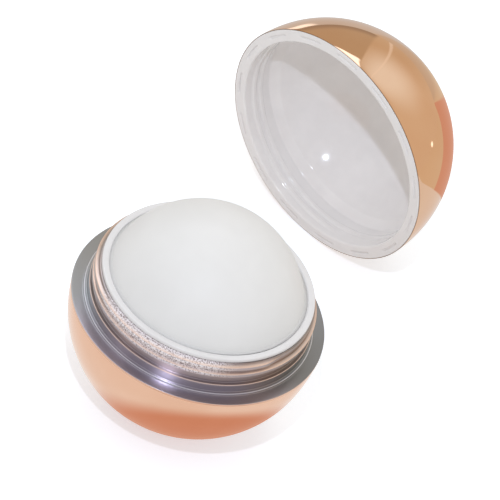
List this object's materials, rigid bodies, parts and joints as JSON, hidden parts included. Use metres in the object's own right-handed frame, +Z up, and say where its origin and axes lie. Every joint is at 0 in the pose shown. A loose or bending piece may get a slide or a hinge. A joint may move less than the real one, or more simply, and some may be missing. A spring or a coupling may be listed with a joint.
{
  "type": "lip balm ball",
  "caption": "Ball-shaped lip balm: a plated base with a threaded neck and a white cup holding a domed balm, its lined screw cap taken off and stood beside it.",
  "frame": {"origin": "centre of the flat foot of the base, on the surface that the ball stands on", "axes": "+Z up along the axis of the base, through the middle of the balm; +Y away from the picture's camera, towards the cap; +X to the right in the picture"},
  "size_m": [0.0495, 0.0846, 0.0398],
  "materials": {
    "base_plating": "polished",
    "cap_plating": "polished",
    "collar_plating": "polished",
    "cup_plastic": "gloss",
    "disc_plastic": "satin",
    "balm_wax": "matte",
    "liner_plastic": "gloss"
  },
  "bodies": {
    "base": {"base_shell": "base_plating", "threaded_collar": "collar_plating", "balm_cup": "cup_plastic", "closing_disc": "disc_plastic", "balm": "balm_wax"},
    "cap": {"cap_shell": "cap_plating", "cap_liner": "liner_plastic"}
  },
  "joints": [
    {"name": "cap_swing", "type": "hinge", "parent": "base", "child": "cap", "pos_m": [0.01234, 0.01753, 0.00297], "axis": [0.9171, -0.1362, 0.3746], "range_deg": [0, 92.15]}
  ]
}
